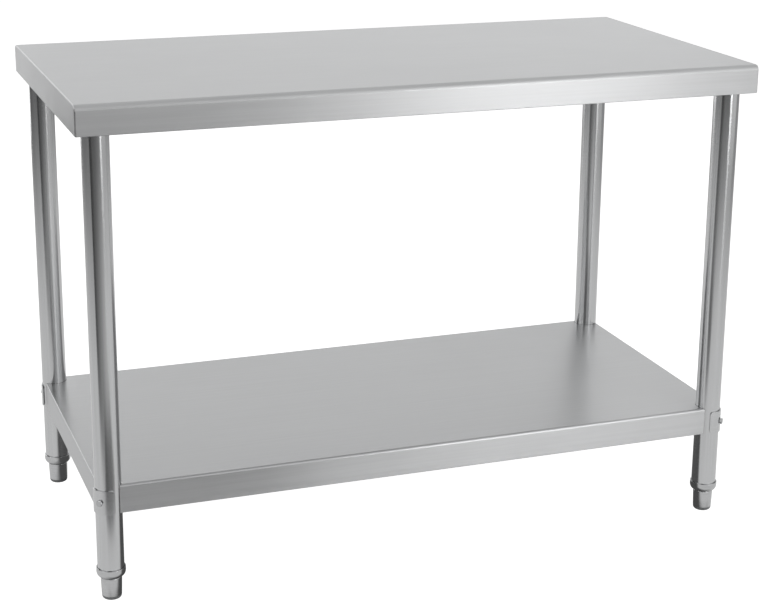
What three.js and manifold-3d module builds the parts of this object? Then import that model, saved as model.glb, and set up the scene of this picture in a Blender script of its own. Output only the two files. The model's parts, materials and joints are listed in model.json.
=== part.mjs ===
// Stainless work table. A folded worktop stands on four round tube legs, a folded
// lower shelf is bolted to the legs, and each leg ends in a screw-in levelling foot.
// Millimetres, +Z up, +X along the table's length, -Y towards the front edge.
// The origin is on the floor, under the middle of the worktop.

import * as THREE from 'three';
import { mergeVertices } from 'three/addons/utils/BufferGeometryUtils.js';
import Module from 'manifold-3d';

const wasm = await Module();
wasm.setup();

// Driving dimensions

const gap = 0.3;                    // between two pieces that touch
const overrun = 5;                  // how far a cutting tool runs past what it cuts
const rooted = 1;                   // how far a shank runs into its head

const table = { length: 1200, depth: 600, height: 850 };
const worktop = { edge: 50, sheet: 1.2, roll: 10, hem: 10 };
const shelf = { length: 1161, depth: 554, top: 207, edge: 50, sheet: 1, roll: 5, hem: 8 };
const shelfLegHole = 23.1;          // radius of the cut round each leg

const hat = { web: 48, flange: 11, depth: 16, sheet: 1.2 };
const wideHat = { web: 60, flange: 15, depth: 16, sheet: 1.2 };
const hatEndClearance = 12;         // from the end of a channel to the edge's outer face
const shelfHatEnd = 55;             // from the end of the shelf's channel to the shelf's end

const leg = { radius: 22.5, wall: 1.2, fromEnd: 38, fromFront: 40, foot: 54 };
const socket = { outer: 25.5, bore: 22.8, flangeRadius: 30, flangeThickness: 2.5 };
const socketScrew = { shank: 4, length: 7.5, headAcross: 13, headHeight: 5, aboveRim: 12 };

const bolt = { shank: 3, across: 10, headHeight: 4, nutHeight: 5, tail: 3 };
const boltHeight = 180;
const saddle = { thickness: 2, height: 42, halfAngle: 62, corner: 6 };
const gusset = { radius: 23.1, thickness: 2, bottom: 160, halfAngle: 83 };

const insert = { lipRadius: 24.7, lipTop: 57, plugTop: 82, bore: 5.3, base: 40, baseRadius: 18.5 };
const foot = {
  topRadius: 18, lowRadius: 16.8, coreRadius: 8, hollowRadius: 13.8, roof: 3.5,
  glideTop: 6, glideRadius: 16.6, soleEdge: 5,
};
const glideBoss = { radius: 9, height: 4 };
const stem = { radius: 5, top: 86, bottom: 15 };

const segments = { leg: 30, ring: 20, bore: 12, roll: 4, bowl: 3 };

// Materials

function metal(colour, roughness) {
  return new THREE.MeshStandardMaterial({ color: colour, roughness, metalness: 1 });
}

function plastic(colour) {
  return new THREE.MeshStandardMaterial({ color: colour, roughness: 0.6, metalness: 0 });
}

const finish = {
  sheet: metal(0xc8cacb, 0.3),
  tube: metal(0xb9bcbd, 0.25),
  bracket: metal(0xb2b5b7, 0.35),
  fastener: metal(0xa9acae, 0.3),
  alloy: metal(0xb4b7b9, 0.3),
  plastic: plastic(0x77797b),
};

// Solids

function toSolid(geometry) {
  const bare = geometry.clone();
  bare.deleteAttribute('normal');
  bare.deleteAttribute('uv');
  const merged = mergeVertices(bare);
  return new wasm.Manifold(new wasm.Mesh({
    numProp: 3,
    vertProperties: new Float32Array(merged.attributes.position.array),
    triVerts: new Uint32Array(merged.index.array),
  }));
}

function toGeometry(solid) {
  const result = solid.getMesh();
  const geometry = new THREE.BufferGeometry();
  geometry.setAttribute('position', new THREE.BufferAttribute(result.vertProperties, result.numProp));
  geometry.setIndex(new THREE.BufferAttribute(result.triVerts, 1));
  geometry.computeVertexNormals();
  return geometry;
}

function cut(geometry, ...tools) {
  return toGeometry(tools.reduce((solid, tool) => solid.subtract(toSolid(tool)), toSolid(geometry)));
}

function join(first, second) {
  return toGeometry(toSolid(first).add(toSolid(second)));
}

function block(xRange, yRange, zRange) {
  const sizes = [xRange, yRange, zRange].map(([low, high]) => high - low);
  const middles = [xRange, yRange, zRange].map(([low, high]) => (low + high) / 2);
  return new THREE.BoxGeometry(...sizes).translate(...middles);
}

// A solid of revolution about Z. The profile is a list of [radius, height] pairs.
function turned(profile, count = segments.ring) {
  const points = profile.map(([radius, height]) => new THREE.Vector2(radius, height));
  return new THREE.LatheGeometry(points, count).rotateX(Math.PI / 2);
}

function rod(radius, low, high, count = segments.bore) {
  return new THREE.CylinderGeometry(radius, radius, high - low, count)
    .rotateX(Math.PI / 2)
    .translate(0, 0, (low + high) / 2);
}

function hexagon(across, low, high) {
  return rod(across / Math.sqrt(3), low, high, 6);
}

// Stands a shape drawn in Y and Z on its side and runs it along X, centred.
function alongX(shape, length) {
  const turn = new THREE.Matrix4().makeBasis(
    new THREE.Vector3(0, 1, 0),
    new THREE.Vector3(0, 0, 1),
    new THREE.Vector3(1, 0, 0),
  );
  return new THREE.ExtrudeGeometry(shape, { depth: length, bevelEnabled: false, curveSegments: segments.roll })
    .translate(0, 0, -length / 2)
    .applyMatrix4(turn);
}

function mesh(name, geometry, material) {
  const piece = new THREE.Mesh(geometry, material);
  piece.name = name;
  return piece;
}

// Folded sheet: worktop and shelf

// The outline across a folded sheet: square below, rolled at the two top corners.
function rolledOutline(halfDepth, bottom, top, radius) {
  const shape = new THREE.Shape();
  shape.moveTo(-halfDepth, bottom);
  shape.lineTo(halfDepth, bottom);
  shape.lineTo(halfDepth, top - radius);
  shape.absarc(halfDepth - radius, top - radius, radius, 0, Math.PI / 2, false);
  shape.absarc(radius - halfDepth, top - radius, radius, Math.PI / 2, Math.PI, false);
  shape.lineTo(-halfDepth, bottom);
  return shape;
}

// A tray upside down: top sheet, four edges folded down and a hem folded inwards.
function foldedTray({ length, depth, top, edge, sheet, roll, hem }) {
  const bottom = top - edge;
  const outside = alongX(rolledOutline(depth / 2, bottom, top, roll), length);
  const inside = alongX(
    rolledOutline(depth / 2 - sheet, bottom + sheet, top - sheet, roll - sheet),
    length - 2 * sheet,
  );
  const mouthX = length / 2 - sheet - hem;
  const mouthY = depth / 2 - sheet - hem;
  const mouth = block([-mouthX, mouthX], [-mouthY, mouthY], [bottom - overrun, bottom + overrun]);
  return cut(outside, inside, mouth);
}

const legX = table.length / 2 - leg.fromEnd;
const legY = table.depth / 2 - leg.fromFront;
const corners = [
  { name: 'front_left', x: -1, y: -1 },
  { name: 'front_right', x: 1, y: -1 },
  { name: 'back_left', x: -1, y: 1 },
  { name: 'back_right', x: 1, y: 1 },
];

function worktopSkin() {
  return foldedTray({ ...table, ...worktop, top: table.height });
}

// The shelf's corners are cut round the legs, and open outwards for the saddles.
function shelfPanel() {
  const bottom = shelf.top - shelf.edge - overrun;
  const top = shelf.top + overrun;
  const tools = corners.flatMap(({ x, y }) => {
    const hole = rod(shelfLegHole, bottom, top, segments.leg).translate(x * legX, y * legY, 0);
    const outerX = x * shelf.length / 2 + x * overrun;
    const outerY = y * shelf.depth / 2 + y * overrun;
    const xRange = [x * legX, outerX].sort((a, b) => a - b);
    const yRange = [y * legY, outerY].sort((a, b) => a - b);
    return [hole, block(xRange, yRange, [bottom, top])];
  });
  return cut(foldedTray(shelf), ...tools);
}

// Stiffening channels

// A hat section with its two flanges up against the sheet above it, at height "under".
function hatShape({ web, flange, depth, sheet }, under) {
  const bottom = under - depth;
  const side = web / 2;
  const brim = side + flange;
  const shape = new THREE.Shape();
  shape.moveTo(-side, bottom);
  shape.lineTo(side, bottom);
  shape.lineTo(side, under - sheet);
  shape.lineTo(brim, under - sheet);
  shape.lineTo(brim, under);
  shape.lineTo(side - sheet, under);
  shape.lineTo(side - sheet, bottom + sheet);
  shape.lineTo(sheet - side, bottom + sheet);
  shape.lineTo(sheet - side, under);
  shape.lineTo(-brim, under);
  shape.lineTo(-brim, under - sheet);
  shape.lineTo(-side, under - sheet);
  shape.lineTo(-side, bottom);
  return shape;
}

const underWorktop = table.height - worktop.sheet - gap;
const underShelf = shelf.top - shelf.sheet - gap;
const channelWebBottom = underWorktop - hat.depth;

function endChannel() {
  return alongX(hatShape(hat, underWorktop), table.depth - 2 * hatEndClearance).rotateZ(Math.PI / 2);
}

function centreChannel() {
  const betweenEnds = 2 * (legX - hat.web / 2 - hat.flange - gap);
  return alongX(hatShape(wideHat, underWorktop), betweenEnds);
}

function shelfChannel() {
  return alongX(hatShape(wideHat, underShelf), shelf.length - 2 * shelfHatEnd);
}

// Leg and its socket. From here on a piece is drawn about its leg's axis,
// with +X pointing out along the diagonal of the table's corner.

const socketTop = channelWebBottom - gap;
const socketRim = table.height - worktop.edge;
const legTop = socketTop - socket.flangeThickness - gap;
const screwHeight = socketRim + socketScrew.aboveRim;

// Points a piece drawn up Z out along X, at a height above the floor.
function outwards(geometry, height) {
  return geometry.rotateY(Math.PI / 2).translate(0, 0, height);
}

function legSocket() {
  const plate = socketTop - socket.flangeThickness;
  const cup = turned([
    [0, plate],
    [socket.bore, plate],
    [socket.bore, socketRim],
    [socket.outer, socketRim],
    [socket.outer, plate],
    [socket.flangeRadius, plate],
    [socket.flangeRadius, socketTop],
    [0, socketTop],
  ]);
  const screwHole = rod(socketScrew.shank + gap, -socket.flangeRadius - overrun, 0);
  return cut(cup, outwards(screwHole, screwHeight));
}

function socketScrewPiece() {
  const tip = -leg.radius - gap;
  const underHead = tip - socketScrew.length;
  const shank = rod(socketScrew.shank, underHead - rooted, tip);
  const head = hexagon(socketScrew.headAcross, underHead - socketScrew.headHeight, underHead);
  return outwards(join(head, shank), screwHeight);
}

function legTube() {
  const inner = leg.radius - leg.wall;
  const tube = turned([
    [inner, leg.foot],
    [leg.radius, leg.foot],
    [leg.radius, legTop],
    [inner, legTop],
    [inner, leg.foot],
  ], segments.leg);
  const boltHole = rod(bolt.shank + gap, -leg.radius - overrun, leg.radius + overrun);
  return cut(tube, outwards(boltHole, boltHeight));
}

// Shelf fixing: saddle outside the leg, gusset inside the shelf, bolt through both

// A plate curved about the leg, from -halfAngle to halfAngle degrees about +X.
function curvedPlate(inner, thickness, halfAngle, low, high) {
  const half = THREE.MathUtils.degToRad(halfAngle);
  const shape = new THREE.Shape();
  shape.absarc(0, 0, inner + thickness, -half, half, false);
  shape.absarc(0, 0, inner, half, -half, true);
  const curveSegments = segments.ring / 2;
  return new THREE.ExtrudeGeometry(shape, { depth: high - low, bevelEnabled: false, curveSegments })
    .translate(0, 0, low);
}

function boltHoleTool() {
  return outwards(rod(bolt.shank + gap, 0, 2 * leg.radius), boltHeight);
}

const saddleInner = leg.radius + gap;
const gussetOuter = gusset.radius + gusset.thickness;

function saddlePlate() {
  const low = boltHeight - saddle.height / 2;
  const plate = curvedPlate(saddleInner, saddle.thickness, saddle.halfAngle, low, low + saddle.height);
  return cut(plate, boltHoleTool());
}

function cornerGusset() {
  const top = underShelf - shelf.roll;
  const plate = curvedPlate(gusset.radius, gusset.thickness, gusset.halfAngle, gusset.bottom, top);
  return cut(plate, boltHoleTool()).rotateZ(Math.PI);
}

const nutFace = -gussetOuter - gap;

function shelfBolt() {
  const underHead = saddleInner + saddle.thickness + gap;
  const tail = nutFace - bolt.nutHeight - bolt.tail;
  const head = hexagon(bolt.across, underHead, underHead + bolt.headHeight);
  return outwards(join(head, rod(bolt.shank, tail, underHead + rooted)), boltHeight);
}

function shelfNut() {
  const body = hexagon(bolt.across, nutFace - bolt.nutHeight, nutFace);
  const bore = rod(bolt.shank + gap, nutFace - bolt.nutHeight - overrun, nutFace + overrun);
  return outwards(cut(body, bore), boltHeight);
}

// Levelling foot: insert fixed in the leg, stem and shoe that screw out, glide under the shoe

// Points on a quarter ellipse between two [radius, height] pairs, bulging outwards and down.
function bulge([r0, z0], [r1, z1], steps) {
  return Array.from({ length: steps + 1 }, (_, i) => {
    const angle = (Math.PI / 2) * (i / steps);
    return [r0 + (r1 - r0) * Math.sin(angle), z1 + (z0 - z1) * Math.cos(angle)];
  });
}

function footInsert() {
  const plugRadius = leg.radius - leg.wall - gap;
  const grooveBottom = leg.foot - gap;
  const lipInner = leg.radius + gap;
  const bowlTop = insert.lipTop - 2 * (insert.lipTop - grooveBottom);
  return turned([
    [insert.bore, insert.base],
    ...bulge([insert.baseRadius, insert.base], [insert.lipRadius, bowlTop], segments.bowl),
    [insert.lipRadius, insert.lipTop],
    [lipInner, insert.lipTop],
    [lipInner, grooveBottom],
    [plugRadius, grooveBottom],
    [plugRadius, insert.plugTop],
    [insert.bore, insert.plugTop],
    [insert.bore, insert.base],
  ]);
}

function footStem() {
  return rod(stem.radius, stem.bottom, stem.top);
}

function footShoe() {
  const top = insert.base - gap;
  const bottom = foot.glideTop + gap;
  const recessTop = foot.glideTop + glideBoss.height + gap;
  const bore = stem.radius + gap;
  return turned([
    [0, recessTop],
    [foot.coreRadius, recessTop],
    [foot.coreRadius, top - foot.roof],
    [foot.hollowRadius, top - foot.roof],
    [foot.hollowRadius, bottom],
    [foot.lowRadius, bottom],
    [foot.topRadius, top],
    [bore, top],
    [bore, stem.bottom - gap],
    [0, stem.bottom - gap],
  ]);
}

function footGlide() {
  const sole = foot.glideRadius - foot.soleEdge;
  return turned([
    [0, 0],
    ...bulge([sole, 0], [foot.glideRadius, foot.soleEdge], segments.bowl),
    [foot.glideRadius, foot.glideTop],
    [glideBoss.radius, foot.glideTop],
    [glideBoss.radius, foot.glideTop + glideBoss.height],
    [0, foot.glideTop + glideBoss.height],
  ]);
}

// Assembly

function cornerAssembly({ name, x, y }) {
  const group = new THREE.Group();
  group.position.set(x * legX, y * legY, 0);
  group.rotation.z = Math.atan2(y, x);
  group.add(
    mesh(`leg_socket_${name}`, legSocket(), finish.bracket),
    mesh(`socket_screw_${name}`, socketScrewPiece(), finish.fastener),
    mesh(`leg_tube_${name}`, legTube(), finish.tube),
    mesh(`shelf_saddle_${name}`, saddlePlate(), finish.bracket),
    mesh(`shelf_gusset_${name}`, cornerGusset(), finish.bracket),
    mesh(`shelf_bolt_${name}`, shelfBolt(), finish.fastener),
    mesh(`shelf_nut_${name}`, shelfNut(), finish.fastener),
    mesh(`foot_insert_${name}`, footInsert(), finish.alloy),
    mesh(`foot_stem_${name}`, footStem(), finish.fastener),
    mesh(`foot_shoe_${name}`, footShoe(), finish.alloy),
    mesh(`foot_glide_${name}`, footGlide(), finish.plastic),
  );
  return group;
}

function endChannelAt(name, x) {
  const piece = mesh(name, endChannel(), finish.bracket);
  piece.position.x = x;
  return piece;
}

const workTable = new THREE.Group();
workTable.add(
  mesh('worktop_skin', worktopSkin(), finish.sheet),
  endChannelAt('worktop_channel_left', -legX),
  endChannelAt('worktop_channel_right', legX),
  mesh('worktop_channel_centre', centreChannel(), finish.bracket),
  mesh('shelf_panel', shelfPanel(), finish.sheet),
  mesh('shelf_channel', shelfChannel(), finish.bracket),
  ...corners.map(cornerAssembly),
);

export default workTable;
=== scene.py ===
"""Looks of the stainless work table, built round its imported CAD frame.

Metres, +Z up, -Y towards the front edge. Every CAD node is stood for by a finer mesh of
the same size: folded and rolled sheet, turned, cast and moulded parts with their edge radii,
pressed plates, and threads on the stems of the feet.
"""

import json
import math

import bmesh
import bpy
from mathutils import Matrix, Vector

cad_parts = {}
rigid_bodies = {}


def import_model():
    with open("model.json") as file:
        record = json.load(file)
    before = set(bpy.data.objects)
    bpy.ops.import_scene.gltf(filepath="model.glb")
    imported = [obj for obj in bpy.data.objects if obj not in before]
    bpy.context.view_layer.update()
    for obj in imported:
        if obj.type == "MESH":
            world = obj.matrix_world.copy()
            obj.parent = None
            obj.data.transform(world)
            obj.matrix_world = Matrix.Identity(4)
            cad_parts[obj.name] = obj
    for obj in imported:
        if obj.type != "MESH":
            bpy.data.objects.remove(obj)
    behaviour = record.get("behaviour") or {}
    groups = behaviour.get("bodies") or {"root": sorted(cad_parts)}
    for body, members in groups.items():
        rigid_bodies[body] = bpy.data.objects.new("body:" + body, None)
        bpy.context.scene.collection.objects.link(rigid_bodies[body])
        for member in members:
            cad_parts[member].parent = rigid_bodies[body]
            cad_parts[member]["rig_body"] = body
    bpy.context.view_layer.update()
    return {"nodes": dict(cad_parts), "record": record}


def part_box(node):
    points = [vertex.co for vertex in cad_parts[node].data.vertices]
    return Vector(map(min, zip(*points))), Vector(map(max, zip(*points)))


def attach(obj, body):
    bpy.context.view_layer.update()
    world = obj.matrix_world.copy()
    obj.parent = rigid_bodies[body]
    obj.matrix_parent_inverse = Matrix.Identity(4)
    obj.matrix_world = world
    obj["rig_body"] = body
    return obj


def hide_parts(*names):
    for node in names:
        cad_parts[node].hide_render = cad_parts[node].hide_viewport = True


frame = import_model()

MM = 0.001
UV_NAME = "sheet"
SMOOTH_BELOW = math.radians(27)  # edges that turn by more than this stay sharp

# Driving dimensions that the frame's boxes don't give, in metres

WORKTOP = {"roll": 10 * MM, "fold": 2.4 * MM, "corner": 2.6 * MM, "sheet": 1.2 * MM, "hem": 10 * MM}
SHELF = {"roll": 5 * MM, "fold": 1.6 * MM, "corner": 2 * MM, "sheet": 1 * MM, "hem": 8 * MM}
BOTTOM_FOLD = 1.6 * MM
SHELF_LEG_HOLE = 23.1 * MM

# The open corner seam of the worktop: a relief notch under the roll, then a closed joint
NOTCH = {"top": 9 * MM, "bottom": 23 * MM, "depth": 1.0 * MM, "half_angle": math.radians(19)}
JOINT = {"depth": 0.35 * MM, "half_angle": math.radians(6)}
SEAM_STEP = 0.4 * MM

HAT = {"web": 48 * MM, "flange": 11 * MM, "depth": 16 * MM, "sheet": 1.2 * MM}
WIDE_HAT = {"web": 60 * MM, "flange": 15 * MM, "depth": 16 * MM, "sheet": 1.2 * MM}
HAT_BEND = 2.2 * MM

LEG = {"radius": 22.5 * MM, "wall": 1.2 * MM}
SOCKET = {"outer": 25.5 * MM, "bore": 22.8 * MM, "flange_radius": 30 * MM, "flange": 2.5 * MM}
SET_SCREW = {
    "shank": 4 * MM, "length": 7.5 * MM, "across": 13 * MM, "head": 5 * MM,
    "above_rim": 12 * MM,
}
BOLT = {"shank": 3 * MM, "across": 10 * MM, "head": 4 * MM, "nut": 5 * MM, "tail": 3 * MM}
SADDLE = {"inner": 22.8 * MM, "thickness": 2 * MM, "half_angle": math.radians(62), "corner": 6 * MM}
GUSSET = {"inner": 23.1 * MM, "thickness": 2 * MM, "half_angle": math.radians(83), "corner": 2 * MM}
INSERT = {
    "plug": 21 * MM, "bore": 5.3 * MM, "base": 18.5 * MM, "lip": 24.7 * MM, "rim": 6.6 * MM,
    "cover": 3 * MM,
}
STEM = {"radius": 5 * MM, "pitch": 1.5 * MM, "thread": 0.55 * MM, "plain": 23 * MM}
SHOE = {
    "top": 18 * MM, "low": 16.8 * MM, "core": 8 * MM, "hollow": 13.8 * MM, "roof": 3.5 * MM,
    "bore": 5.3 * MM,
}
GLIDE = {"radius": 16.6 * MM, "sole_edge": 5 * MM, "boss": 9 * MM, "boss_height": 4 * MM}
GAP = 0.3 * MM

# A hexagon's chamfer: its flat face's radius over its width across flats, and its slope
FACE_SHARE = 0.475
CHAMFER_SLOPE = math.tan(math.radians(30))

FINE_ROUND = 96
ROUND = 64
SMALL_ROUND = 48

CORNERS = ("front_left", "front_right", "back_left", "back_right")


# ---------------------------------------------------------------- camera

# Where the main view's camera stands, in metres, how it turns, in radians, and its lens
CAMERA = {
    "place": (-1.0615, -2.9835, 1.3908), "turn_right": 0.34847, "tip_down": 0.27826, "roll": 0.00832,
    "lens_mm": 82.73, "sensor_mm": 36, "shift_up": -0.0682, "sees_from": 0.1, "sees_to": 200,
}


def aim_camera():
    data = bpy.data.cameras.new("camera")
    data.lens = CAMERA["lens_mm"]
    data.sensor_width = CAMERA["sensor_mm"]
    data.shift_y = CAMERA["shift_up"]
    data.clip_start = CAMERA["sees_from"]
    data.clip_end = CAMERA["sees_to"]
    camera = bpy.data.objects.new("camera", data)
    bpy.context.scene.collection.objects.link(camera)
    tipped = Matrix.Rotation(math.pi / 2 - CAMERA["tip_down"], 4, "X")
    aimed = Matrix.Rotation(-CAMERA["turn_right"], 4, "Z") @ tipped
    rolled = Matrix.Rotation(CAMERA["roll"], 4, "Z")
    camera.matrix_world = Matrix.Translation(CAMERA["place"]) @ aimed @ rolled
    bpy.context.scene.camera = camera


# ---------------------------------------------------------------- outlines and lofts

def rounded(corners, steps=5):
    """An outline through (x, y, radius) corners, each rounded by its own radius."""
    outline = []
    for i, (x, y, radius) in enumerate(corners):
        here = Vector((x, y))
        if radius == 0:
            outline.append(here)
            continue
        back = (Vector(corners[i - 1][:2]) - here).normalized()
        ahead = (Vector(corners[(i + 1) % len(corners)][:2]) - here).normalized()
        half = back.angle(ahead) / 2
        centre = here + (back + ahead).normalized() * (radius / math.sin(half))
        start = here + back * (radius / math.tan(half)) - centre
        end = here + ahead * (radius / math.tan(half)) - centre
        turn = math.atan2(start.cross(end), start.dot(end))
        for k in range(steps + 1):
            outline.append(centre + Matrix.Rotation(turn * k / steps, 2) @ start)
    return outline


def lengths_along(points, closed):
    """How far each point is along its line, and the whole line's length last if it is closed."""
    line = list(points) + ([points[0]] if closed else [])
    lengths = [0.0]
    for before, after in zip(line, line[1:]):
        lengths.append(lengths[-1] + (Vector(after) - Vector(before)).length)
    return lengths


def loft(name, rings, uv, wrap=False):
    """A closed mesh through rings of equally many points, capped at both ends unless they wrap.

    uv(ring, point, segment) gives the sheet position, in metres, of a corner of that
    segment's face.
    """
    count = len(rings[0])
    faces, places = [], []
    for i in range(len(rings) if wrap else len(rings) - 1):
        j = (i + 1) % len(rings)
        for a in range(count):
            b = (a + 1) % count
            faces.append((i * count + a, i * count + b, j * count + b, j * count + a))
            places += [uv(i, a, a), uv(i, a + 1, a), uv(i + 1, a + 1, a), uv(i + 1, a, a)]
    if not wrap:
        for ring, start in ((rings[0], 0), (rings[-1], (len(rings) - 1) * count)):
            faces.append(tuple(range(start, start + count)))
            places += [flat_place(point, ring) for point in ring]
    mesh = bpy.data.meshes.new(name)
    mesh.from_pydata([p for ring in rings for p in ring], [], faces)
    layer = mesh.uv_layers.new(name=UV_NAME)
    layer.data.foreach_set("uv", [value for place in places for value in place])
    body = bmesh.new()
    body.from_mesh(mesh)
    bmesh.ops.recalc_face_normals(body, faces=body.faces)
    body.to_mesh(mesh)
    body.free()
    made = bpy.data.objects.new(name, mesh)
    bpy.context.scene.collection.objects.link(made)
    return made


def flat_place(point, ring):
    """A point's place on a flat cap, along the two axes that the cap spreads over most."""
    spans = [max(p[k] for p in ring) - min(p[k] for p in ring) for k in range(3)]
    flattest = spans.index(min(spans))
    return [point[k] for k in range(3) if k != flattest]


def turned(name, profile, count=ROUND, wrap=False):
    """A solid of revolution about Z through (radius, height) points."""
    widest = max(radius for radius, _ in profile)
    along = lengths_along(profile, wrap)
    angles = [math.tau * a / count for a in range(count)]
    rings = [[(r * math.cos(t), r * math.sin(t), z) for t in angles] for r, z in profile]
    return loft(name, rings, lambda i, a, _: (math.tau * widest * a / count, along[i]), wrap)


def hexagon_ring(across, height, chamfered):
    """A hexagon's points at a height. The chamfer lowers those outside the face's circle."""
    face = FACE_SHARE * across
    ring = []
    for a in range(SMALL_ROUND):
        angle = math.tau * a / SMALL_ROUND
        from_flat = (angle + math.pi / 6) % (math.pi / 3) - math.pi / 6
        radius = across / 2 / math.cos(from_flat)
        drop = chamfered * max(0.0, radius - face) * CHAMFER_SLOPE
        ring.append((radius * math.cos(angle), radius * math.sin(angle), height - drop))
    return ring


def circle_ring(radius, height):
    angles = [math.tau * a / SMALL_ROUND for a in range(SMALL_ROUND)]
    return [(radius * math.cos(angle), radius * math.sin(angle), height) for angle in angles]


def ring_loft(name, rings, wrap=False):
    """A loft about Z whose sheet positions follow the first point of each ring."""
    along = lengths_along([ring[0] for ring in rings], wrap)
    widest = max(Vector(ring[0]).xy.length for ring in rings)
    count = len(rings[0])
    return loft(name, rings, lambda i, a, _: (math.tau * widest * a / count, along[i]), wrap)


def subtract(piece, cutter):
    """Cuts the cutter away from the piece, and deletes the cutter."""
    modifier = piece.modifiers.new("cut", "BOOLEAN")
    modifier.operation = "DIFFERENCE"
    modifier.solver = "EXACT"
    modifier.object = cutter
    bpy.context.view_layer.update()
    result = piece.evaluated_get(bpy.context.evaluated_depsgraph_get())
    piece.data = bpy.data.meshes.new_from_object(result)
    piece.modifiers.clear()
    bpy.data.objects.remove(cutter)
    return piece


def outwards(piece, height):
    """Turns a piece drawn up Z to point along X, at a height above the floor."""
    piece.data.transform(Matrix.Translation((0, 0, height)) @ Matrix.Rotation(math.pi / 2, 4, "Y"))
    return piece


def drill(piece, radius, near, far, height):
    """Drills a hole along X between two distances from the leg's axis."""
    tool = turned("drill", [(radius, near), (radius, far)], SMALL_ROUND)
    return subtract(piece, outwards(tool, height))


# ---------------------------------------------------------------- folded sheet

def inset(depth, radius):
    """How far a rounded edge has drawn in, at a depth below the flat that it rises to."""
    return radius - math.sqrt(max(radius**2 - (radius - min(depth, radius)) ** 2, 0))


def arc_depths(radius, steps):
    return [radius * (1 - math.cos(math.pi / 2 * k / steps)) for k in range(steps + 1)]


def tray_corner(radius, groove, half_angle):
    """(x, y) points from the sharp corner, round it from its -Y end to its +X end, with a groove."""
    steps, flat_share = 3, 0.8
    sides = [k / steps * (math.pi / 4 - half_angle) for k in range(steps + 1)]
    angles = sides + [math.pi / 2 - a for a in reversed(sides)]
    round_points = [(radius * math.sin(a) - radius, radius - radius * math.cos(a)) for a in angles]
    half_floor = half_angle * flat_share
    floor_angles = (math.pi / 4 - half_floor, math.pi / 4 + half_floor)
    sunk = radius - groove
    floor_points = [(sunk * math.sin(a) - radius, radius - sunk * math.cos(a)) for a in floor_angles]
    middle = len(sides)
    return round_points[:middle] + floor_points + round_points[middle:]


def tray_ring(half, level):
    """One level's outline of a tray, anticlockwise, from its front right corner's -Y end."""
    corner = tray_corner(level["corner"], level["groove"], level["half_angle"])
    ring = []
    for sx, sy in ((1, -1), (1, 1), (-1, 1), (-1, -1)):
        points = [
            (sx * (half.x - level["end"] + x), sy * (half.y - level["side"] - y), level["z"])
            for x, y in corner
        ]
        ring += points if sx * sy < 0 else points[::-1]
    return ring


def seam_at(depth, shape):
    """The (groove, half angle) of a worktop's corner seam at a depth below the top."""
    if not shape["seam"] or depth < NOTCH["top"]:
        return 0.0, JOINT["half_angle"]
    if depth <= NOTCH["bottom"]:
        return NOTCH["depth"], NOTCH["half_angle"]
    return JOINT["depth"], JOINT["half_angle"]


def tray_levels(low, high, shape):
    """A tray's section from its top's edge down the outside, round the hem and up the inside."""
    roll, fold, sheet, corner = shape["roll"], shape["fold"], shape["sheet"], shape["corner"]
    edge = high - low
    depths = set(arc_depths(roll, 12) + arc_depths(fold, 5) + [edge - BOTTOM_FOLD])
    if shape["seam"]:
        for step in (NOTCH["top"], NOTCH["bottom"]):
            depths |= {step - SEAM_STEP / 2, step + SEAM_STEP / 2}
    levels = []

    def add(side, end, z, radius, groove=0.0, half_angle=JOINT["half_angle"]):
        levels.append({
            "side": side, "end": end, "z": z,
            "corner": radius, "groove": groove, "half_angle": half_angle,
        })

    for depth in sorted(depths):
        add(inset(depth, roll), inset(depth, fold), high - depth, corner, *seam_at(depth, shape))
    fold_steps = 4
    for k in range(1, fold_steps + 1):
        turn = math.pi / 2 * k / fold_steps
        drawn = BOTTOM_FOLD * (1 - math.cos(turn))
        add(drawn, drawn, low + BOTTOM_FOLD * (1 - math.sin(turn)), corner - drawn / 2)
    bend, ease = 0.5 * MM, 0.2 * MM
    hem, inner = sheet + shape["hem"], max(corner - sheet, bend)
    add(hem - ease, hem - ease, low, inner)
    add(hem, hem, low + ease, inner)
    add(hem, hem, low + sheet - ease, inner)
    add(hem - ease, hem - ease, low + sheet, inner)
    add(sheet + bend, sheet + bend, low + sheet, inner)
    add(sheet, sheet, low + sheet + bend, inner)
    inner_roll, inner_fold = roll - sheet, max(fold - sheet, bend)
    for depth in sorted(set(arc_depths(inner_roll, 8) + arc_depths(inner_fold, 3)), reverse=True):
        side, end = sheet + inset(depth, inner_roll), sheet + inset(depth, inner_fold)
        add(side, end, high - sheet - depth, inner)
    return levels


def folded_tray(name, node, shape):
    """A sheet folded down on four sides with its hem turned in, its grain along X."""
    low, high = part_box(node)
    half = (high - low) / 2
    levels = tray_levels(low.z, high.z, shape)
    rings = [tray_ring(half, level) for level in levels]
    side_length = lengths_along([(-level["side"], level["z"]) for level in levels], False)
    end_length = lengths_along([(-level["end"], level["z"]) for level in levels], False)
    per_corner = len(rings[0]) // 4

    def unfolded(i, a, segment):
        x, y, _ = rings[i][a % len(rings[i])]
        quarter, step = divmod(segment, per_corner)
        on_end = (step < per_corner // 2) != (quarter % 2 == 0)
        if on_end:
            return math.copysign(half.x - shape["fold"] + end_length[i], x), y
        return x, math.copysign(half.y - shape["roll"] + side_length[i], y)

    return loft(name, rings, unfolded)


def leg_axis(corner):
    low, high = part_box(f"leg_tube_{corner}")
    return (low + high).xy / 2


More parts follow.
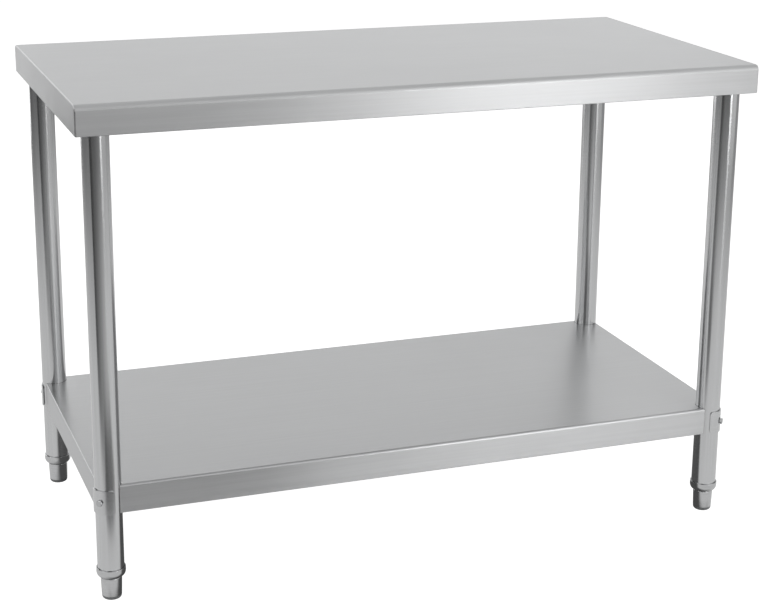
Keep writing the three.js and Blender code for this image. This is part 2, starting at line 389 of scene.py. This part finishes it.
def shelf_cutter(corner):
    """What a shelf's corner loses: a round about the leg, open outwards."""
    axis = leg_axis(corner)
    reach, spare = 60 * MM, 5 * MM
    angles = [math.pi / 2 + 1.5 * math.pi * k / ROUND for k in range(ROUND + 1)]
    arc = [Vector((math.cos(t), math.sin(t))) * SHELF_LEG_HOLE for t in angles]
    outline = [Vector((0, reach)), *arc, Vector((reach, 0)), Vector((reach, reach))]
    low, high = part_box("shelf_panel")
    rings = [
        [
            (axis.x + math.copysign(1, axis.x) * p.x, axis.y + math.copysign(1, axis.y) * p.y, z)
            for p in outline
        ]
        for z in (low.z - spare, high.z + spare)
    ]
    along = lengths_along(outline, True)
    return loft("cutter", rings, lambda i, a, _: (along[a], rings[i][0][2]))


def hat_channel(name, node, shape, along_y=False):
    """A hat section channel, its flanges up against the sheet above it."""
    low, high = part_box(node)
    middle, top = (low + high) / 2, high.z
    side, brim = shape["web"] / 2, shape["web"] / 2 + shape["flange"]
    sheet, bottom = shape["sheet"], high.z - shape["depth"]
    tight, edge = HAT_BEND - sheet, 0.3 * MM
    right = [
        (side, bottom, HAT_BEND),
        (side, top - sheet, tight),
        (brim, top - sheet, edge),
        (brim, top, edge),
        (side - sheet, top, HAT_BEND),
        (side - sheet, bottom + sheet, tight),
    ]
    outline = rounded(right + [(-y, z, radius) for y, z, radius in reversed(right)], 4)
    along = lengths_along(outline, True)
    if along_y:
        ends = (low.y, high.y)
        rings = [[(middle.x + p.x, end, p.y) for p in outline] for end in ends]
    else:
        ends = (low.x, high.x)
        rings = [[(end, middle.y + p.x, p.y) for p in outline] for end in ends]
    return loft(name, rings, lambda i, a, _: (ends[i], along[a]))


# ---------------------------------------------------------------- leg, socket and fixings

def at_corner(piece, corner):
    """Moves a piece drawn about the origin, +X outwards, to its corner's leg."""
    axis = leg_axis(corner)
    turn = math.atan2(math.copysign(1, axis.y), math.copysign(1, axis.x))
    piece.data.transform(Matrix.Translation((axis.x, axis.y, 0)) @ Matrix.Rotation(turn, 4, "Z"))
    return piece


def bolt_height(corner):
    low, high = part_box(f"shelf_bolt_{corner}")
    return (low.z + high.z) / 2


def leg_tube(corner):
    low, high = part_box(f"leg_tube_{corner}")
    outer, inner, edge = LEG["radius"], LEG["radius"] - LEG["wall"], 0.4 * MM
    profile = rounded([
        (inner, low.z, edge), (outer, low.z, edge), (outer, high.z, edge), (inner, high.z, edge),
    ], 3)
    tube = turned("leg_" + corner, profile, FINE_ROUND, wrap=True)
    return drill(tube, BOLT["shank"] + GAP, -2 * outer, 2 * outer, bolt_height(corner))


def leg_socket(corner):
    low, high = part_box(f"leg_socket_{corner}")
    plate = high.z - SOCKET["flange"]
    profile = rounded([
        (GAP, plate, 0),
        (SOCKET["bore"], plate, 0.5 * MM),
        (SOCKET["bore"], low.z, 0.4 * MM),
        (SOCKET["outer"], low.z, 0.6 * MM),
        (SOCKET["outer"], plate, 2 * MM),
        (SOCKET["flange_radius"], plate, 0.5 * MM),
        (SOCKET["flange_radius"], high.z, 0.5 * MM),
        (GAP, high.z, 0),
    ], 4)
    cup = turned("socket_" + corner, profile, ROUND)
    height = low.z + SET_SCREW["above_rim"]
    return drill(cup, SET_SCREW["shank"] + GAP, -SOCKET["flange_radius"] - GAP, 0, height)


def set_screw(corner):
    low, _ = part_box(f"leg_socket_{corner}")
    tip = -LEG["radius"] - GAP
    seat = tip - SET_SCREW["length"]
    top = seat - SET_SCREW["head"]
    shank, across, chamfer = SET_SCREW["shank"], SET_SCREW["across"], 0.6 * MM
    upside_down = [
        circle_ring(shank - chamfer, -tip),
        circle_ring(shank, -tip - chamfer),
        circle_ring(shank, -seat),
        hexagon_ring(across, -seat, 0),
        [(x, y, -2 * top - z) for x, y, z in hexagon_ring(across, -top, 1)],
        circle_ring(FACE_SHARE * across, -top),
    ]
    rings = [[(x, y, -z) for x, y, z in ring] for ring in upside_down]
    screw = ring_loft("set_screw_" + corner, rings)
    return outwards(screw, low.z + SET_SCREW["above_rim"])


def pressed_plate(name, shape, low, high):
    """A plate bent round the leg, its four corners rounded and its edges eased."""
    middle, half_height = (low + high) / 2, (high - low) / 2
    radius = shape["inner"] + shape["thickness"] / 2
    half_width = radius * shape["half_angle"]
    ease, least = 0.5 * MM, 0.02 * MM
    near_end = [*arc_depths(ease, 3), *(d for d in arc_depths(shape["corner"], 8) if d > ease)]
    across = [half_width - d for d in near_end]
    steps = 24
    spread = [across[-1] * (1 - 2 * k / steps) for k in range(1, steps)]
    rings = []
    for s in [*across, *spread, *(-s for s in reversed(across))]:
        from_end = half_width - abs(s)
        drawn = inset(from_end, ease)
        tall = half_height - inset(from_end, shape["corner"]) - drawn
        thick = shape["thickness"] / 2 - drawn
        corner = max(ease - drawn, least)
        section = rounded([
            (radius - thick, middle - tall, corner), (radius + thick, middle - tall, corner),
            (radius + thick, middle + tall, corner), (radius - thick, middle + tall, corner),
        ], 3)
        angle = s / radius
        rings.append([(p.x * math.cos(angle), p.x * math.sin(angle), p.y) for p in section])
    along = lengths_along([Vector(ring[0]) for ring in rings], False)
    around = lengths_along([Vector(p) for p in rings[len(rings) // 2]], True)
    return loft(name, rings, lambda i, a, _: (along[i], around[a]))


def saddle_plate(corner):
    low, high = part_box(f"shelf_saddle_{corner}")
    plate = pressed_plate("saddle_" + corner, SADDLE, low.z, high.z)
    return drill(plate, BOLT["shank"] + GAP, 0, 2 * LEG["radius"], bolt_height(corner))


def corner_gusset(corner):
    low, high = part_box(f"shelf_gusset_{corner}")
    plate = pressed_plate("gusset_" + corner, GUSSET, low.z, high.z)
    plate.data.transform(Matrix.Rotation(math.pi, 4, "Z"))
    return drill(plate, BOLT["shank"] + GAP, -2 * LEG["radius"], 0, bolt_height(corner))


def shelf_bolt(corner):
    seat = SADDLE["inner"] + SADDLE["thickness"] + GAP
    top = seat + BOLT["head"]
    tail = -GUSSET["inner"] - GUSSET["thickness"] - GAP - BOLT["nut"] - BOLT["tail"]
    shank, chamfer = BOLT["shank"], 0.6 * MM
    collar = {"radius": 0.47 * BOLT["across"], "height": 0.4 * MM}
    rings = [
        circle_ring(shank - chamfer, tail),
        circle_ring(shank, tail + chamfer),
        circle_ring(shank, seat),
        circle_ring(collar["radius"], seat),
        circle_ring(collar["radius"], seat + collar["height"]),
        hexagon_ring(BOLT["across"], seat + collar["height"], 0),
        hexagon_ring(BOLT["across"], top, 1),
        circle_ring(FACE_SHARE * BOLT["across"], top),
    ]
    return outwards(ring_loft("bolt_" + corner, rings), bolt_height(corner))


def shelf_nut(corner):
    face = -GUSSET["inner"] - GUSSET["thickness"] - GAP
    back = face - BOLT["nut"]
    bore, lead = BOLT["shank"] + GAP, 0.4 * MM
    lower = [(x, y, 2 * back - z) for x, y, z in hexagon_ring(BOLT["across"], back, 1)]
    rings = [
        circle_ring(bore + lead, back),
        circle_ring(FACE_SHARE * BOLT["across"], back),
        lower,
        hexagon_ring(BOLT["across"], face, 1),
        circle_ring(FACE_SHARE * BOLT["across"], face),
        circle_ring(bore + lead, face),
        circle_ring(bore, face - lead),
        circle_ring(bore, back + lead),
    ]
    return outwards(ring_loft("nut_" + corner, rings, wrap=True), bolt_height(corner))


# ---------------------------------------------------------------- levelling feet

def foot_insert(corner):
    """The cast cup pressed into the leg's end, its rim standing a little proud of the tube."""
    low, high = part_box(f"foot_insert_{corner}")
    leg_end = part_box(f"leg_tube_{corner}")[0].z
    rim_top = leg_end + INSERT["cover"]
    bowl_top = rim_top - INSERT["rim"]
    chamfer_in, chamfer_up = 0.8 * MM, 1 * MM
    wider, drop = INSERT["lip"] - INSERT["base"], low.z + chamfer_up - bowl_top
    steps = 12
    turns = [math.pi / 2 * k / steps for k in range(steps + 1)]
    bowl = [(INSERT["base"] + wider * math.sin(t), bowl_top + drop * math.cos(t)) for t in turns]
    throat = rounded([
        (INSERT["lip"], bowl_top, 0),
        (INSERT["lip"], rim_top, 0.7 * MM),
        (LEG["radius"] + GAP, rim_top, 0.5 * MM),
        (LEG["radius"] + GAP, leg_end - GAP, 0.2 * MM),
        (INSERT["plug"], leg_end - GAP, 0.2 * MM),
        (INSERT["plug"], high.z, 1 * MM),
        (INSERT["bore"], high.z, 0.5 * MM),
        (INSERT["bore"], low.z, 0.5 * MM),
        (INSERT["base"] - chamfer_in, low.z, 0),
    ], 4)
    profile = [Vector(p) for p in bowl] + throat[1:]
    return turned("insert_" + corner, profile, FINE_ROUND, wrap=True)


def foot_stem(corner):
    """The foot's stem, its thread cut as a helix above the shoe."""
    low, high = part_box(f"foot_stem_{corner}")
    radius, pitch, cut = STEM["radius"], STEM["pitch"], STEM["thread"]
    chamfer, point, per_turn = 1 * MM, 0.6 * MM, 8
    start, end = low.z + STEM["plain"], high.z - chamfer
    rings = [
        circle_ring(radius - chamfer, low.z),
        circle_ring(radius, low.z + chamfer),
        circle_ring(radius, start),
    ]
    for k in range(1, int((end - start) / pitch * per_turn)):
        z = start + pitch * k / per_turn
        ring = []
        for a in range(SMALL_ROUND):
            share = (k / per_turn - a / SMALL_ROUND) % 1
            depth = cut * (1 - abs(2 * share - 1))
            angle = math.tau * a / SMALL_ROUND
            ring.append(((radius - depth) * math.cos(angle), (radius - depth) * math.sin(angle), z))
        rings.append(ring)
    core = radius - cut
    rings += [circle_ring(core, end), circle_ring(core - point, high.z)]
    return ring_loft("stem_" + corner, rings)


def foot_shoe(corner):
    low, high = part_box(f"foot_shoe_{corner}")
    glide_top = low.z - GAP
    recess_top = glide_top + GLIDE["boss_height"] + GAP
    stem_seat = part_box(f"foot_stem_{corner}")[0].z - GAP
    profile = rounded([
        (GAP, recess_top, 0),
        (SHOE["core"], recess_top, 0.3 * MM),
        (SHOE["core"], high.z - SHOE["roof"], 0.6 * MM),
        (SHOE["hollow"], high.z - SHOE["roof"], 0.6 * MM),
        (SHOE["hollow"], low.z, 0.3 * MM),
        (SHOE["low"], low.z, 0.6 * MM),
        (SHOE["top"], high.z, 1.2 * MM),
        (SHOE["bore"], high.z, 0.4 * MM),
        (SHOE["bore"], stem_seat, 0.3 * MM),
        (GAP, stem_seat, 0),
    ], 5)
    return turned("shoe_" + corner, profile, FINE_ROUND)


def foot_glide(corner):
    low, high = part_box(f"foot_glide_{corner}")
    top = high.z - GLIDE["boss_height"]
    profile = rounded([
        (GAP, low.z, 0),
        (GLIDE["radius"], low.z, GLIDE["sole_edge"]),
        (GLIDE["radius"], top, 0.5 * MM),
        (GLIDE["boss"], top, 0.3 * MM),
        (GLIDE["boss"], high.z, 0.5 * MM),
        (GAP, high.z, 0),
    ], 10)
    return turned("glide_" + corner, profile, FINE_ROUND)


# ---------------------------------------------------------------- materials

# The spans of a noise's values, from 0 to 1, that a look runs over: the gentler and the steeper
GENTLE = (0.3, 0.7)
STEEP = (0.35, 0.65)


class Shader:
    """A material with one Principled shader, and short calls for the nodes that feed it."""

    def __init__(self, name, metallic):
        self.material = bpy.data.materials.new(name)
        self.material.use_nodes = True
        self.nodes = self.material.node_tree.nodes
        self.links = self.material.node_tree.links
        self.surface = next(n for n in self.nodes if n.type == "BSDF_PRINCIPLED")
        self.surface.inputs["Metallic"].default_value = metallic

    def node(self, kind, **values):
        made = self.nodes.new(kind)
        for key, value in values.items():
            setattr(made, key, value)
        return made

    def link(self, source, target):
        self.links.new(source, target)

    def sheet_position(self, scale):
        """The position on the unfolded sheet, in metres, stretched by a scale for each axis."""
        position = self.node("ShaderNodeUVMap", uv_map=UV_NAME)
        return self.scaled(position.outputs["UV"], scale)

    def solid_position(self, scale):
        position = self.node("ShaderNodeTexCoord")
        return self.scaled(position.outputs["Object"], scale)

    def scaled(self, vector, scale):
        mapping = self.node("ShaderNodeMapping")
        mapping.inputs["Scale"].default_value = scale
        self.link(vector, mapping.inputs["Vector"])
        return mapping.outputs["Vector"]

    def noise(self, position, detail=3.0, roughness=0.5):
        texture = self.node("ShaderNodeTexNoise")
        texture.inputs["Scale"].default_value = 1
        texture.inputs["Detail"].default_value = detail
        texture.inputs["Roughness"].default_value = roughness
        self.link(position, texture.inputs["Vector"])
        return texture.outputs["Fac"]

    def ranged(self, value, start, end, low, high, smooth=False):
        """Maps a value from start and end to low and high, clamped."""
        ramp = self.node("ShaderNodeMapRange")
        if smooth:
            ramp.interpolation_type = "SMOOTHSTEP"
        for key, number in (("From Min", start), ("From Max", end), ("To Min", low), ("To Max", high)):
            ramp.inputs[key].default_value = number
        self.link(value, ramp.inputs["Value"])
        return ramp.outputs["Result"]

    def math(self, operation, first, second):
        made = self.node("ShaderNodeMath", operation=operation)
        for socket, value in zip(made.inputs, (first, second)):
            if isinstance(value, (int, float)):
                socket.default_value = value
            else:
                self.link(value, socket)
        return made.outputs["Value"]

    def colour(self, share, dark, light):
        """A colour between two others, by a share from 0 to 1."""
        mix = self.node("ShaderNodeMix", data_type="RGBA")
        colours = [s for s in mix.inputs if s.type == "RGBA"]
        colours[0].default_value = (*dark, 1)
        colours[1].default_value = (*light, 1)
        self.link(share, mix.inputs["Factor"])
        self.link(next(s for s in mix.outputs if s.type == "RGBA"), self.surface.inputs["Base Color"])

    def bump(self, height, strength, distance):
        made = self.node("ShaderNodeBump")
        made.inputs["Strength"].default_value = strength
        made.inputs["Distance"].default_value = distance
        self.link(height, made.inputs["Height"])
        self.link(made.outputs["Normal"], self.surface.inputs["Normal"])

    def grain(self, anisotropy):
        """Spreads the gloss across the grain, which runs along the sheet's first axis."""
        tangent = self.node("ShaderNodeTangent", direction_type="UV_MAP", uv_map=UV_NAME)
        self.surface.inputs["Anisotropic"].default_value = anisotropy
        self.surface.inputs["Anisotropic Rotation"].default_value = 0.25
        self.link(tangent.outputs["Tangent"], self.surface.inputs["Tangent"])


def brushed_steel(name, tone, rough, spread, anisotropy, along=(2.5, 170), scratches=0.05):
    """Steel brushed along the sheet's first axis: long streaks, fine scratches, faint wipe marks.

    rough is the middle roughness and spread how far the streaks move it either way. along is
    the streaks' scale with and across the grain, per metre.
    """
    steel = Shader(name, 1.0)
    streaks = steel.noise(steel.sheet_position((along[0], along[1], 1)), 6, 0.65)
    hairs = steel.noise(steel.sheet_position((along[0] * 5, along[1] * 4, 1)), 2, 0.5)
    wipes = steel.noise(steel.solid_position((3.1, 3.7, 2.9)), 3, 0.55)
    scratch = steel.noise(steel.sheet_position((along[0] * 2.2, along[1] * 1.7, 7)), 1, 0.4)
    scratch = steel.ranged(scratch, 0.74, 0.8, 0, scratches)
    streak_share = steel.ranged(streaks, *GENTLE, 0, 0.6)
    wipe_share = steel.ranged(wipes, *STEEP, 0, 0.4)
    share = steel.math("ADD", streak_share, wipe_share)
    steel.colour(share, [0.92 * c for c in tone], [1.07 * c for c in tone])
    gloss = steel.ranged(streaks, *GENTLE, rough - spread, rough + spread)
    gloss = steel.math("ADD", gloss, steel.ranged(wipes, *GENTLE, -0.02, 0.02))
    steel.link(steel.math("ADD", gloss, scratch), steel.surface.inputs["Roughness"])
    relief = steel.math("ADD", steel.math("ADD", streaks, hairs), scratch)
    steel.bump(relief, 0.12, 0.05 * MM)
    steel.grain(anisotropy)
    return steel.material


def mill_steel(name, tone, rough):
    """Pressed sheet as it leaves the mill, or a casting: mottled, with fine pits and faint lines."""
    steel = Shader(name, 1.0)
    mottle = steel.noise(steel.solid_position((45, 45, 45)), 5, 0.6)
    pits = steel.noise(steel.solid_position((900, 900, 900)), 2, 0.5)
    lines = steel.noise(steel.sheet_position((8, 500, 1)), 3, 0.5)
    mottle_share = steel.ranged(mottle, *GENTLE, 0, 0.6)
    line_share = steel.ranged(lines, *STEEP, 0, 0.4)
    share = steel.math("ADD", mottle_share, line_share)
    steel.colour(share, [0.9 * c for c in tone], [1.06 * c for c in tone])
    gloss = steel.ranged(mottle, *GENTLE, rough - 0.07, rough + 0.08)
    steel.link(gloss, steel.surface.inputs["Roughness"])
    relief = steel.math("ADD", mottle, steel.math("MULTIPLY", pits, 0.4))
    steel.bump(relief, 0.15, 0.1 * MM)
    return steel.material


def turned_steel(name, tone):
    """Bright fastener steel with fine tool marks and scuffs."""
    steel = Shader(name, 1.0)
    marks = steel.noise(steel.sheet_position((60, 3000, 1)), 3, 0.6)
    scuffs = steel.noise(steel.solid_position((400, 400, 400)), 3, 0.6)
    steel.colour(scuffs, [0.82 * c for c in tone], [1.1 * c for c in tone])
    gloss = steel.ranged(scuffs, *GENTLE, 0.08, 0.24)
    steel.link(gloss, steel.surface.inputs["Roughness"])
    steel.bump(marks, 0.2, 0.05 * MM)
    return steel.material


def moulded_plastic(name, tone, rough):
    """Moulded plastic: spark-eroded grain, slight flow marks and rubbed patches."""
    plastic = Shader(name, 0.0)
    grit = plastic.noise(plastic.solid_position((700, 700, 700)), 2, 0.5)
    flow = plastic.noise(plastic.solid_position((60, 60, 25)), 3, 0.5)
    plastic.colour(flow, [0.88 * c for c in tone], [1.1 * c for c in tone])
    rubbed = plastic.ranged(flow, *STEEP, rough - 0.07, rough + 0.07)
    plastic.link(rubbed, plastic.surface.inputs["Roughness"])
    plastic.bump(grit, 0.35, 0.08 * MM)
    return plastic.material


def finishes():
    """A material for each of the record's slots."""
    tube_tone = (0.6, 0.605, 0.61)
    return {
        "worktop_steel": brushed_steel(
            "worktop_steel", (0.61, 0.615, 0.62), rough=0.4, spread=0.04, anisotropy=0.85,
        ),
        "shelf_steel": brushed_steel(
            "shelf_steel", (0.57, 0.575, 0.58), rough=0.34, spread=0.04, anisotropy=0.8,
        ),
        "leg_steel": brushed_steel(
            "leg_steel", tube_tone, rough=0.17, spread=0.02, anisotropy=0.7,
            along=(200, 4), scratches=0.02,
        ),
        "saddle_steel": brushed_steel(
            "saddle_steel", tube_tone, rough=0.24, spread=0.03, anisotropy=0.4,
            along=(8, 200), scratches=0.03,
        ),
        "bracket_steel": mill_steel("bracket_steel", (0.55, 0.555, 0.56), rough=0.36),
        "fastener_steel": turned_steel("fastener_steel", (0.52, 0.525, 0.53)),
        "foot_alloy": mill_steel("foot_alloy", (0.56, 0.565, 0.57), rough=0.17),
        "glide_plastic": moulded_plastic("glide_plastic", (0.2, 0.205, 0.21), rough=0.4),
    }


# ---------------------------------------------------------------- assembly

def finish_piece(piece, node, slots, materials):
    """Smooths a piece, gives it its finish, and sets it to ride in place of its CAD node."""
    mesh = piece.data
    mesh.polygons.foreach_set("use_smooth", [True] * len(mesh.polygons))
    mesh.set_sharp_from_angle(angle=SMOOTH_BELOW)
    weighted = piece.modifiers.new("weighted normals", "WEIGHTED_NORMAL")
    weighted.mode = "FACE_AREA_WITH_ANGLE"
    weighted.keep_sharp = True
    mesh.materials.clear()
    mesh.materials.append(materials[slots[node]])
    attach(piece, frame["nodes"][node]["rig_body"])
    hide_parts(node)


def build_table():
    materials = finishes()
    slots = {part["node"]: part["material_slot"] for part in frame["record"]["subparts"]}
    shelf = folded_tray("shelf", "shelf_panel", {**SHELF, "seam": False})
    for corner in CORNERS:
        subtract(shelf, shelf_cutter(corner))
    pieces = {
        "worktop_skin": folded_tray("worktop", "worktop_skin", {**WORKTOP, "seam": True}),
        "worktop_channel_left": hat_channel("stiffener_left", "worktop_channel_left", HAT, True),
        "worktop_channel_right": hat_channel("stiffener_right", "worktop_channel_right", HAT, True),
        "worktop_channel_centre": hat_channel("stiffener_centre", "worktop_channel_centre", WIDE_HAT),
        "shelf_panel": shelf,
        "shelf_channel": hat_channel("shelf_stiffener", "shelf_channel", WIDE_HAT),
    }
    makers = {
        "leg_socket": leg_socket, "socket_screw": set_screw, "leg_tube": leg_tube,
        "shelf_saddle": saddle_plate, "shelf_gusset": corner_gusset, "shelf_bolt": shelf_bolt,
        "shelf_nut": shelf_nut, "foot_insert": foot_insert, "foot_stem": foot_stem,
        "foot_shoe": foot_shoe, "foot_glide": foot_glide,
    }
    for corner in CORNERS:
        for kind, make in makers.items():
            pieces[f"{kind}_{corner}"] = at_corner(make(corner), corner)
    for node, piece in pieces.items():
        finish_piece(piece, node, slots, materials)


# ---------------------------------------------------------------- studio

# The floor that the camera sees: pale paper, just below the feet when they are screwed out
PAPER = {"drop": 26 * MM, "reach": 30, "tone": (0.3, 0.3, 0.3, 1), "roughness": 0.9, "glow": 1}

# The room as polished steel meets it: plain glowing surfaces, which the camera doesn't see.
# Lengths are in metres and turns in degrees. The floor carries a painted pool of light: it is
# light near the table and fades outwards. In front a painted shade is darkest along a line from
# the front left leg, and grows lighter again with the turn from that line. The shades, painted
# shadows of the table, lie under the top and in front of the shelf: each is its middle, its half
# size and how much of the glow is left in it.
FLOOR = {
    "reach": 7, "near": 0.75, "far": 0.14, "fade": (1.4, 4.6),
    "dark_from": (-0.56, -0.26), "dark_turn": 30, "dark_edge": 2, "dark_glow": 0.08,
    "dark_fan": 90, "dark_starts": (-0.6, -1.0), "shade_edge": (0.88, 1.08),
}
SHADES = (
    ((0, 0), (0.6, 0.33), 0.14),
    ((-0.46, -0.9), (0.4, 0.28), 0.22),
)

# Each wall panel is its name, how strongly it glows, the compass turns that it fills, in
# degrees from straight behind the table, and its lower and upper edge in metres.
WALL_RADIUS = 4
WALL_PANELS = (
    ("back_wall", 1.25, -5, 45, 1.2, 3.2),
    ("back_left_wall", 1.7, -45, -5, 1.2, 3.2),
    ("back_left_foot", 1.6, -45, 0, 0, 1.2),
    ("right_wall", 0.35, 45, 105, 0, 3.2),
    ("right_box", 1.3, 105, 149, 1.2, 3.2),
    ("front_right_box", 4.5, 149, 163, 0.2, 1.2),
    ("front_right_top", 1.4, 149, 163, 1.2, 3.2),
    ("front_right_wall", 0.75, 105, 149, 0, 1.2),
    ("front_right_foot", 0.3, 149, 163, 0, 0.2),
    ("front_wall", 1.2, 163, 195, 1.2, 3.2),
    ("front_foot", 0.12, 163, 225, 0, 1.2),
    ("left_box", 1.6, 225, 285, 1.2, 3.2),
)

CEILING = {"height": 3.2, "reach": 4, "split": -0.7, "back_glow": 0.7, "front_glow": 0.5}

WHITE = (1, 1, 1, 1)
BLACK = (0, 0, 0, 1)
ALL_RAYS = ("camera", "diffuse", "glossy", "transmission", "shadow", "volume_scatter")
STEEL_RAYS = ("glossy", "diffuse")


def emitter(name, strength):
    """A plain glowing material."""
    material = bpy.data.materials.new(name)
    material.use_nodes = True
    nodes = material.node_tree.nodes
    nodes.remove(next(n for n in nodes if n.type == "BSDF_PRINCIPLED"))
    glow = nodes.new("ShaderNodeEmission")
    glow.inputs["Strength"].default_value = strength
    output = next(n for n in nodes if n.type == "OUTPUT_MATERIAL")
    material.node_tree.links.new(glow.outputs["Emission"], output.inputs["Surface"])
    return material


def panel(name, outline, material, seen_by):
    """A flat panel of the room. seen_by names the kinds of ray that meet it."""
    mesh = bpy.data.meshes.new(name)
    mesh.from_pydata(outline, [], [tuple(range(len(outline)))])
    mesh.materials.append(material)
    made = bpy.data.objects.new(name, mesh)
    bpy.context.scene.collection.objects.link(made)
    for ray in ALL_RAYS:
        setattr(made, f"visible_{ray}", ray in seen_by)


def flat(reach, near, far, height):
    """A level rectangle's corners, from the near edge to the far one."""
    return [(-reach, near, height), (reach, near, height), (reach, far, height), (-reach, far, height)]


def square(reach, height):
    return flat(reach, -reach, reach, height)


def floor_material():
    """Pale floor paper, lit evenly enough to read as plain white."""
    material = bpy.data.materials.new("floor_paper")
    material.use_nodes = True
    nodes = material.node_tree.nodes
    paper = next(n for n in nodes if n.type == "BSDF_PRINCIPLED")
    paper.inputs["Base Color"].default_value = PAPER["tone"]
    paper.inputs["Roughness"].default_value = PAPER["roughness"]
    paper.inputs["Specular IOR Level"].default_value = 0
    paper.inputs["Emission Color"].default_value = WHITE
    paper.inputs["Emission Strength"].default_value = PAPER["glow"]
    return material


def floor_glow():
    """How the steel meets the floor, as FLOOR says: a painted pool of light, with painted shade and
    shadows in it.
    """
    floor = Shader("floor_glow", 0.0)
    floor.surface.inputs["Base Color"].default_value = BLACK
    floor.surface.inputs["Specular IOR Level"].default_value = 0
    floor.surface.inputs["Emission Color"].default_value = WHITE
    place = floor.node("ShaderNodeTexCoord").outputs["Object"]
    apart = floor.node("ShaderNodeSeparateXYZ")
    floor.link(place, apart.inputs["Vector"])
    x, y = apart.outputs["X"], apart.outputs["Y"]
    squares = floor.math("ADD", floor.math("POWER", x, 2), floor.math("POWER", y, 2))
    distance = floor.math("SQRT", squares, 0)
    # A painted pool of light: the floor glows brightest near the table and fades outwards
    glow = floor.ranged(distance, *FLOOR["fade"], FLOOR["near"], FLOOR["far"], smooth=True)

    # A painted shade on the floor in front, darkest along a line from the front left leg
    turn = math.radians(FLOOR["dark_turn"])
    start_x, start_y = FLOOR["dark_from"]
    x_out, y_out = floor.math("SUBTRACT", x, start_x), floor.math("SUBTRACT", y, start_y)
    along = floor.math(
        "ADD",
        floor.math("MULTIPLY", x_out, -math.cos(turn)),
        floor.math("MULTIPLY", y_out, -math.sin(turn)),
    )
    past = floor.math(
        "ADD",
        floor.math("MULTIPLY", x_out, math.sin(turn)),
        floor.math("MULTIPLY", y_out, -math.cos(turn)),
    )
    fan = floor.math("ARCTAN2", past, along)
    edge = math.radians(FLOOR["dark_edge"])
    lift = floor.ranged(fan, 0, math.radians(FLOOR["dark_fan"]), FLOOR["dark_glow"], 1)
    side = floor.ranged(fan, -edge, edge, 0, 1, smooth=True)
    reached = floor.ranged(y, *FLOOR["dark_starts"], 0, 1)
    within = floor.math("MULTIPLY", side, reached)
    loss = floor.math("MULTIPLY", within, floor.math("SUBTRACT", 1, lift))
    glow = floor.math("MULTIPLY", glow, floor.math("SUBTRACT", 1, loss))

    # Painted shadows of the table on the floor, under the top and in front of the shelf
    for middle, half, left_over in SHADES:
        across = []
        for at, centre, reach in zip((x, y), middle, half):
            away = floor.math("ABSOLUTE", floor.math("SUBTRACT", at, centre), 0)
            across.append(floor.math("DIVIDE", away, reach))
        outside = floor.math("MAXIMUM", *across)
        shade = floor.ranged(outside, *FLOOR["shade_edge"], left_over, 1, smooth=True)
        glow = floor.math("MULTIPLY", glow, shade)
    floor.link(glow, floor.surface.inputs["Emission Strength"])
    return floor.material


def build_room():
    panel("floor_glow", square(FLOOR["reach"], -PAPER["drop"] - GAP), floor_glow(), STEEL_RAYS)
    for name, glow, start, end, low, high in WALL_PANELS:
        turns = (math.radians(start), math.radians(end))
        feet = [(WALL_RADIUS * math.sin(turn), WALL_RADIUS * math.cos(turn)) for turn in turns]
        upright = [(*feet[0], low), (*feet[1], low), (*feet[1], high), (*feet[0], high)]
        panel(name, upright, emitter(name, glow), STEEL_RAYS)
    reach, split, height = CEILING["reach"], CEILING["split"], CEILING["height"]
    halves = (
        ("ceiling_front", CEILING["front_glow"], -reach, split),
        ("ceiling_back", CEILING["back_glow"], split, reach),
    )
    for name, glow, near, far in halves:
        panel(name, flat(reach, near, far, height), emitter(name, glow), STEEL_RAYS)


def build_studio():
    scene = bpy.context.scene
    scene.view_settings.view_transform = "Standard"
    world = bpy.data.worlds.new("studio")
    scene.world = world
    world.use_nodes = True
    sky = world.node_tree.nodes["Background"]
    sky.inputs["Color"].default_value = WHITE
    sky.inputs["Strength"].default_value = 1
    world.cycles_visibility.glossy = False
    world.cycles_visibility.diffuse = False
    panel("floor", square(PAPER["reach"], -PAPER["drop"]), floor_material(), ("camera",))
    build_room()


aim_camera()
build_table()
build_studio()
